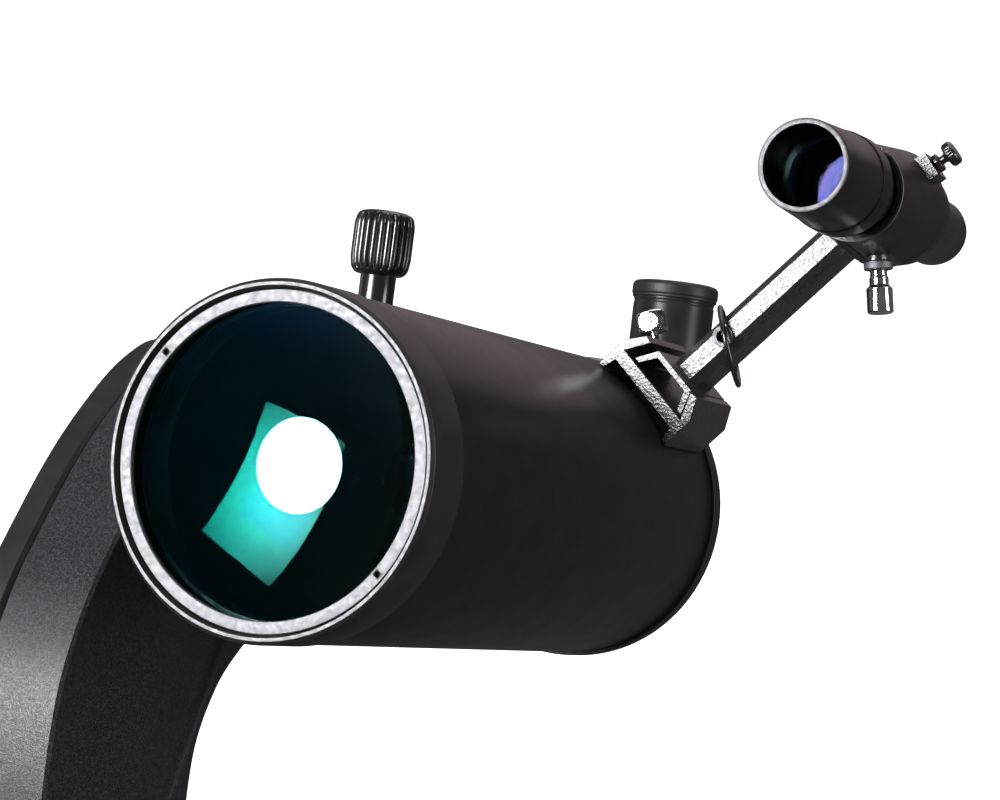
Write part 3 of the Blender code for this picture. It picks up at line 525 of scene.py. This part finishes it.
def thumb(name, origin, tip, collar, end, head_r, body, node):
    """A knurled screw along the origin's +Z: tip, collar and end are heights."""
    outline = [(0, end), (head_r - 0.6, end), (head_r, end - 0.6), (head_r, collar + 1.6),
               (head_r - 0.6, collar + 1), (2.4, collar + 1), (2.4, collar), (1.6, collar), (1.6, tip),
               (0, tip)]
    lathe(name, outline, origin, body, "chrome", [node], steps=216, soft=0.18,
          grip=(36, 0.25, collar + 1.6, end - 0.6), slot="chrome")


def make_diagonal():
    nose = [(13.5, 72), (15.85, 72), (15.85, 22.3), (13.5, 22.3)]
    lathe("nosepiece_smooth", nose, DIAGONAL @ BACKWARDS, "diagonal", "chrome",
          ["diagonal_nosepiece"], steps=144, soft=0.3, slot="chrome")
    dressed("diagonal_body", "moulded", 0.5)
    dressed("diagonal_prism", "prism", 0.3)
    tube = [(15.9, 93.3), (17.1, 93.3), (17.1, 91.0), (16.85, 90.6), (16.85, 89.8), (17.1, 89.4),
            (17.1, 27.2), (16.6, 26.8), (16.6, 24.3), (12.6, 24.3), (12.6, 56), (15.9, 56)]
    lathe("holder_smooth", tube, DIAGONAL, "diagonal", "satin", ["eyepiece_holder"], steps=160,
          soft=0.15, slot="black_plastic")
    hub = DIAGONAL @ move(0, 0, 80) @ turn("Z", 35) @ turn("X", -90)
    thumb("eyepiece_screw_fine", hub, 15.9, 17.5, 24, 3.6, "eyepiece_clamp", "eyepiece_screw")
    lid = [(0, 99), (14.8, 99), (15.3, 98.7), (15.9, 99), (17.2, 98.7), (18.2, 97.4),
           (18.2, 93.6), (17.75, 93.0), (17.9, 92.2), (17.4, 91.8), (17.4, 93.6), (15.5, 93.6), (15.5, 88),
           (14, 88), (14, 97.2), (0, 97.2)]
    lathe("dust_cap_soft", lid, DIAGONAL, "dust_cap", "rubber", ["diagonal_dust_cap"], steps=144,
          soft=0.5, slot="black_rubber")
    hub = FRONT @ move(0, 278, 0) @ turn("Y", 100)
    thumb("visual_back_screw_fine", hub, 16.2, 20.5, 27.5, 4.2, "visual_back_clamp", "visual_back_screw")


def make_saddle():
    dressed("saddle", "black", 0.5)
    dressed("altitude_shaft", "steel", 0.4)
    origin = PIVOT @ move(KNOB_X, KNOB_STATION - ALTITUDE_STATION, 0)
    neck = [(0, 79.2), (7, 79.2), (7, 46.6), (4, 46.6), (4, 22.4), (0, 22.4)]
    lathe("clamp_neck", neck, origin, "saddle_clamp", "gloss", ["saddle_knob_screw"], steps=96,
          soft=0.3, slot="chrome")
    grip = [(0, 104.5), (8.2, 104.5), (11.0, 103.2), (11.9, 99.6), (11.9, 86.4), (11.3, 81.8),
            (9.2, 79.5), (0, 79.5)]
    lathe("clamp_knob", grip, origin, "saddle_clamp", "gloss", ["saddle_knob"], steps=288, soft=1.3,
          grip=(24, 0.95, 80.8, 103.2), slot="black_plastic")


# Finder

def make_finder():
    dressed("finder_shoe", "hammer", 0.35)
    dressed("finder_bracket", "hammer", 0.35)
    sheath = [(18.64, 198.9), (22.74, 240.3), (22.6, 240.36), (18.5, 198.96)]
    sleeve = along("sleeve_skin", sheath, FINDER, "telescope", "crinkle", steps=160, soft=0,
                   slot="hammered_paint")
    trim_skin(sleeve)
    # A grey metal ring on the boss's front face: painted reflection of the key light on the casting's black
    # paint.
    face = [(2.35, 220.2), (4.05, 220.2), (4.05, 220.9), (2.35, 220.9)]
    along("boss_face_glint", face, SIDE, "telescope", "silver", at=(BRACKET_SHIFT, 0, BOSS_HEIGHT),
          steps=96, soft=0.12, slot="silver")
    cell = [(14.6, 138.5), (16.4, 138.5), (16.6, 138.8), (18.3, 173.0), (18.0, 173.3), (18.0, 173.7),
            (18.7, 174.0), (19.0, 183.5), (18.4, 184.5), (15.4, 184.5), (15.4, 176), (16.2, 176),
            (16.2, 160), (15.2, 158)]
    along("objective_cell_smooth", cell, FINDER, "finder_cell", "tube", ["finder_objective_cell"],
          steps=200, soft=0.15, slot="black_paint")
    along("objective_rim", [(14.7, 138.42), (15.85, 138.42), (15.85, 138.6), (14.7, 138.6)], FINDER,
          "finder_cell", "silver", steps=200, soft=0.05, slot="silver")
    lens = bulge(168.2, 168.6, 15.2)
    back = bulge(175.5, 175.25, 15.2)
    objective = along("objective_smooth", lens + back[::-1], FINDER, "finder_cell", "violet_front",
                      ["finder_objective"], steps=128, soft=0, slot="glass")
    objective.data.materials.append(F["violet"].made)
    for face in objective.data.polygons:
        face.material_index = int(-face.center.z / MM > 172.5)
    body = [(13.4, 177), (15, 177), (15, 250), (13.4, 250)]
    along("finder_tube_smooth", body, FINDER, "telescope", "black", ["finder_tube"], steps=128,
          soft=0.1, slot="black_paint")
    eye = [(13, 250.3), (19, 250.3), (19.5, 251), (19.5, 259), (18.5, 261.5), (13.4, 268),
           (13.4, 305), (12.6, 309), (9.5, 309), (9.5, 304), (11.5, 302), (11.5, 266), (13, 262)]
    along("finder_eyepiece_smooth", eye, FINDER, "telescope", "moulded", ["finder_eyepiece"], steps=128,
          soft=0.7, slot="black_plastic")
    ring = [(15.75 + 0.6 * math.cos(a), 200.2 - 0.6 * math.sin(a))
            for a in [math.pi * k / 8 for k in range(16)]]
    along("finder_o_ring_smooth", ring, FINDER, "telescope", "rubber", ["finder_o_ring"], steps=96,
          soft=0, slot="black_rubber")
    hub = FINDER @ move(0, PLUNGER_STATION, 0) @ turn("Y", PLUNGER_CLOCK)
    plunger = [(0, 42), (4.2, 42), (4.9, 41.4), (4.9, 32.6), (3.6, 31.4), (3.6, 28.6), (3.2, 28.0),
               (3.2, 25.8), (2.1, 25.8), (2.1, 15.9), (1.4, REST_R), (0, REST_R)]
    lathe("plunger_smooth", plunger, hub, "plunger", "chrome", ["finder_plunger"], steps=216, soft=0.25,
          slot="chrome")
    # A grey metal band round the top of the plunger's boss: painted reflection of the key light on the
    # casting's black paint.
    collar_glint = [(5.16, 22.9), (5.42, 23.1), (5.42, 25.3), (5.16, 25.5), (3.4, 25.6), (3.4, 25.52), (5.12, 25.4)]
    lathe("plunger_collar_glint", collar_glint, hub, "telescope", "silver", steps=144, soft=0.05, slot="silver")
    # A thin grey metal band on the sleeve's front edge: painted highlight, the line the key light draws on
    # that black edge.
    lip = [(17.6, 198.42), (18.5, 198.42), (18.66, 198.6), (18.66, 198.85), (18.5, 198.7), (17.6, 198.48)]
    along("sleeve_lip_glint", lip, FINDER, "telescope", "silver", steps=200, soft=0.03, slot="silver")
    wall = SLEEVE_FRONT_R + (SCREW_STATION - SLEEVE_FRONT) / SLEEVE_LENGTH * SLEEVE_TAPER
    for name, clock in SCREW_CLOCKS:
        hub = FINDER @ move(0, SCREW_STATION, 0) @ turn("Y", clock)
        seat = wall + 3.4
        head = [(0, seat + 9.4), (4, seat + 9.4), (4.8, seat + 8.6), (4.8, seat + 6.2), (4, seat + 5.4),
                (2.2, seat + 5.4), (1.6, seat + 4.4), (1.6, REST_R), (0, REST_R)]
        lathe(f"adjuster_{name}", head, hub, f"finder_adjuster_{name}", "gloss",
              [f"finder_screw_{name}"], steps=160, soft=0.3, grip=(20, 0.35, seat + 6, seat + 8.8),
              slot="black_plastic")
        lock = [(1.9, seat + 2.6), (3.2, seat + 2.6), (3.6, seat + 2.2), (3.6, seat + 0.7),
                (3.2, seat + 0.3), (1.9, seat + 0.3)]
        lathe(f"lock_ring_{name}", lock, hub, f"finder_adjuster_{name}", "gloss",
              [f"finder_screw_{name}_lock_ring"], steps=120, soft=0.2,
              grip=(18, 0.2, seat + 0.5, seat + 2.4), slot="black_plastic")
    lean = math.degrees(math.atan2(75.8 - 66.0, 17.6 - 12.4))
    hub = SIDE @ move(-15.4, 232, 71.0) @ turn("Y", -lean)
    knob = [(0, 15.5), (5.2, 15.5), (5.7, 15), (5.7, 7.6), (5.2, 7.2), (1.6, 7.2), (1.6, -1.5), (0, -1.5)]
    lathe("shoe_lock_fine", knob, hub, "shoe_lock", "chrome", ["shoe_lock_knob"], steps=216, soft=0.2,
          grip=(36, 0.25, 7.8, 14.9), slot="chrome")
    clock = math.radians(SHOE_CLOCK + 1)
    at = (FRONT @ move(SPARE_RING_HEIGHT * math.sin(clock) + BRACKET_SHIFT, SPARE_RING_STATION,
                       SPARE_RING_HEIGHT * math.cos(clock)) @ turn("Z", 15) @ turn("Y", 70))
    wire = [(15.2 + math.cos(a), math.sin(a)) for a in [-math.pi * k / 10 for k in range(20)]]
    lathe("spare_ring_smooth", wire, at, "telescope", "gloss", ["spare_o_ring"], steps=96, soft=0,
          slot="black_rubber")


def bulge(vertex, edge, edge_r, count=12):
    """A gently curved lens face from its vertex to its rim."""
    return [(edge_r * k / count, vertex + (edge - vertex) * (k / count) ** 2) for k in range(count + 1)]


# Where the screw blocks, the plunger's boss and the stalk leave the ring:
# clock, half width in degrees, first and last station
SKIN_GAPS = ((7, 15, 224.5, 239.5), (-113, 15, 224.5, 239.5), (127, 15, 218.5, 231.5),
             (180, 22, 219.0, 241))


def trim_skin(skin):
    """Drop the skin's faces where other shapes of the casting stand on the ring."""
    shape = bmesh.new()
    shape.from_mesh(skin.data)
    gone = []
    for face in shape.faces:
        middle = face.calc_center_median()
        station = -middle.z / MM
        clock = math.degrees(math.atan2(middle.x, middle.y))
        for at, half, low, high in SKIN_GAPS:
            away = abs((clock - at + 180) % 360 - 180)
            if away < half and low < station < high:
                gone.append(face)
                break
    bmesh.ops.delete(shape, geom=gone, context="FACES")
    shape.to_mesh(skin.data)
    shape.free()


# Mount

# Side view of the arm round the altitude axis: (distance behind it, height above it)
ARM_POINTS = [
    (0, 45), (22, 39), (39, 22), (45, 0), (42, -25), (28, -50), (6, -65), (-14, -71), (-33, -81),
    (-50, -101), (-59, -135), (-55, -170), (-42, -205), (-22, -244.7), (-122, -244.7),
    (-140, -200), (-154, -150), (-155, -105), (-141.5, -55), (-121.5, -24), (-94.5, 0.5),
    (-67.5, 20.5), (-39.5, 35.5), (-20, 42.5),
]
ARM_FOOT_INDEX = 13
COVER_X, COVER_SWELL_X = -141.5, -148.2  # the cover's outer face, above and below its slope
SLOPE_TOP, SLOPE_LOW = -25, -80


def make_arm():
    upright = turn("Z", 90) @ turn("X", 90)
    loop = smooth_loop(ARM_POINTS, {ARM_FOOT_INDEX}, 10)
    inner = slab("arm_inner_smooth", loop, -129.9, -97, ALTITUDE @ upright, "turret", "flake",
                 ["arm_inner_shell"], bevel=1.2)
    hub = across("bore", [(0, 10), (22, 10), (22, -10), (0, -10)], ALTITUDE, None, "flake",
                 at=(-97, 0, 0), steps=96, soft=0)
    drilled(inner, [hub])
    outer = slab("arm_outer_smooth", loop, COVER_SWELL_X, -130.35, ALTITUDE @ upright, "turret",
                 "shell", ["arm_outer_cover"], bevel=1.4)
    slope = [(COVER_X, 80), (COVER_X, SLOPE_TOP), (COVER_SWELL_X, SLOPE_LOW),
             (COVER_SWELL_X - 20, SLOPE_LOW), (COVER_SWELL_X - 20, 80)]
    tools = [slab("cover_slope", slope, -80, 180, ALTITUDE @ turn("X", 90), None, "shell", bevel=0)]
    tools += [across(f"screw_bore_{k}", [(0, 3), (3.6, 3), (3.6, -3.3), (0, -3.3)], ALTITUDE, None,
                     "shell", at=at, steps=48, soft=0)
              for k, at in enumerate(((COVER_X, 30, -18), (COVER_SWELL_X, -128, -100)))]
    drilled(outer, tools)
    outer.data.set_sharp_from_angle(angle=math.radians(5))  # keeps the slope's two creases
    for node in ("arm_screw_1", "arm_screw_2"):
        dressed(node, "steel", 0.15)
    for node in ("altitude_bearing", "arm_chassis", "altitude_worm", "altitude_motor"):
        dressed(node, "steel", 0.2)
    dressed("altitude_worm_wheel", "brass", 0.15)


def make_base():
    for node in ("base_plate", "turret_housing"):
        dressed(node, "shell", 0.8, 3)
    for node in ("connector_panel", "power_socket", "handset_socket", "power_switch"):
        dressed(node, "moulded", 0.25)
    for node in ("turret_floor", "azimuth_thrust_bearing", "azimuth_spindle", "azimuth_worm",
                 "azimuth_motor"):
        dressed(node, "steel", 0.2)
    dressed("azimuth_worm_wheel", "brass", 0.15)
    dressed("control_board", "board", 0.2)


# Studio

def aim(item, at, towards, roll=0.0):
    """Stand at a place and look towards another, rolled by roll radians."""
    item.location = at
    item.rotation_mode = "QUATERNION"
    item.rotation_quaternion = (Vector(towards) - Vector(at)).to_track_quat("-Z", "Y")
    if roll:
        item.rotation_quaternion = item.rotation_quaternion @ Matrix.Rotation(roll, 3, "Z").to_quaternion()


def area_light(name, at, towards, size, power, colour=(1, 1, 1), roll=0.0, spread=180):
    lamp = bpy.data.lights.new(name, "AREA")
    lamp.shape = "RECTANGLE"
    lamp.size, lamp.size_y = size
    lamp.energy = power
    lamp.color = colour
    lamp.spread = math.radians(spread)
    item = bpy.data.objects.new(name, lamp)
    bpy.context.scene.collection.objects.link(item)
    aim(item, at, towards, roll)


KEY_ROLL = -0.2  # slants the softbox's reflection in the corrector
FLOOR_HALF = 14


def make_studio():
    """One softbox that the front faces mirror, and dimmer lights round it; a glowing floor."""
    middle = Vector((0, 0, 0.27))
    key = Vector((-0.41, -0.82, 0.382)).normalized()
    area_light("key_softbox", middle + key * 1.3, middle, (0.56, 0.76), 6.5, (1.0, 0.99, 1.0), KEY_ROLL,
               spread=50)
    area_light("top_softbox", (0.2, 0.9, 2.0), middle, (2.2, 2.2), 30, (1, 0.92, 0.95))
    area_light("back_panel", (-0.1, 2.2, 0.85), middle, (2.0, 0.8), 2.6, (1.0, 0.78, 0.94))
    area_light("right_strip", (1.6, 0.06, 0.55), middle, (0.5, 1.1), 22, (1, 0.96, 1.0))
    area_light("left_strip", (-1.9, 0.5, 0.8), middle, (0.5, 1.6), 2.5, (0.93, 0.93, 1))
    world = bpy.data.worlds.new("studio")
    world.use_nodes = True
    world.node_tree.nodes["Background"].inputs["Color"].default_value = (1.0, 0.93, 0.92, 1)
    world.node_tree.nodes["Background"].inputs["Strength"].default_value = 0.1
    bpy.context.scene.world = world
    mesh = bpy.data.meshes.new("floor")
    corners = [(x * FLOOR_HALF, y * FLOOR_HALF, 0) for x, y in ((-1, -1), (1, -1), (1, 1), (-1, 1))]
    mesh.from_pydata(corners, [], [(0, 1, 2, 3)])
    floor = bpy.data.objects.new("floor", mesh)
    bpy.context.scene.collection.objects.link(floor)
    paper = Finish("pale_paper", (0.72, 0.72, 0.72), 0.8)
    paper.mottle(paper.noise(400, 2), (0.76, 0.76, 0.76))
    paper.put("Specular IOR Level", 0.1)
    paper.put("Emission Strength", 1.0)
    place = paper.node("ShaderNodeSeparateXYZ")
    paper.link(paper.space, place.inputs["Vector"])
    behind = paper.span(place.outputs["Y"], 0.0, 0.95, (0.1, 0.4))
    beside = paper.span(place.outputs["X"], 1.0, 0.0, (0.1, 0.4))
    far = paper.span(place.outputs["Y"], 1.0, 0.0, (5, 9))
    near = paper.node("ShaderNodeMath", operation="MULTIPLY")
    paper.link(behind, near.inputs[0])
    paper.link(beside, near.inputs[1])
    glow = paper.node("ShaderNodeMath", operation="MULTIPLY")
    paper.link(near.outputs["Value"], glow.inputs[0])
    paper.link(far, glow.inputs[1])
    paper.link(glow.outputs["Value"], paper.shader.inputs["Emission Color"])
    mesh.materials.append(paper.made)
    floor.visible_glossy = False


def make_camera():
    lens = bpy.data.cameras.new("camera")
    lens.lens = 107.27
    lens.sensor_width = 36
    lens.clip_start = 0.01
    lens.clip_end = 100
    camera = bpy.data.objects.new("camera", lens)
    bpy.context.scene.collection.objects.link(camera)
    at = Vector((0.4537, -0.9188, 0.5479))
    aim(camera, at, at + Vector((-0.4098, 0.8829, -0.2292)))
    bpy.context.scene.camera = camera


bpy.context.scene.view_settings.view_transform = "Standard"
make_camera()
make_studio()
make_tube()
make_diagonal()
make_saddle()
make_finder()
make_arm()
make_base()
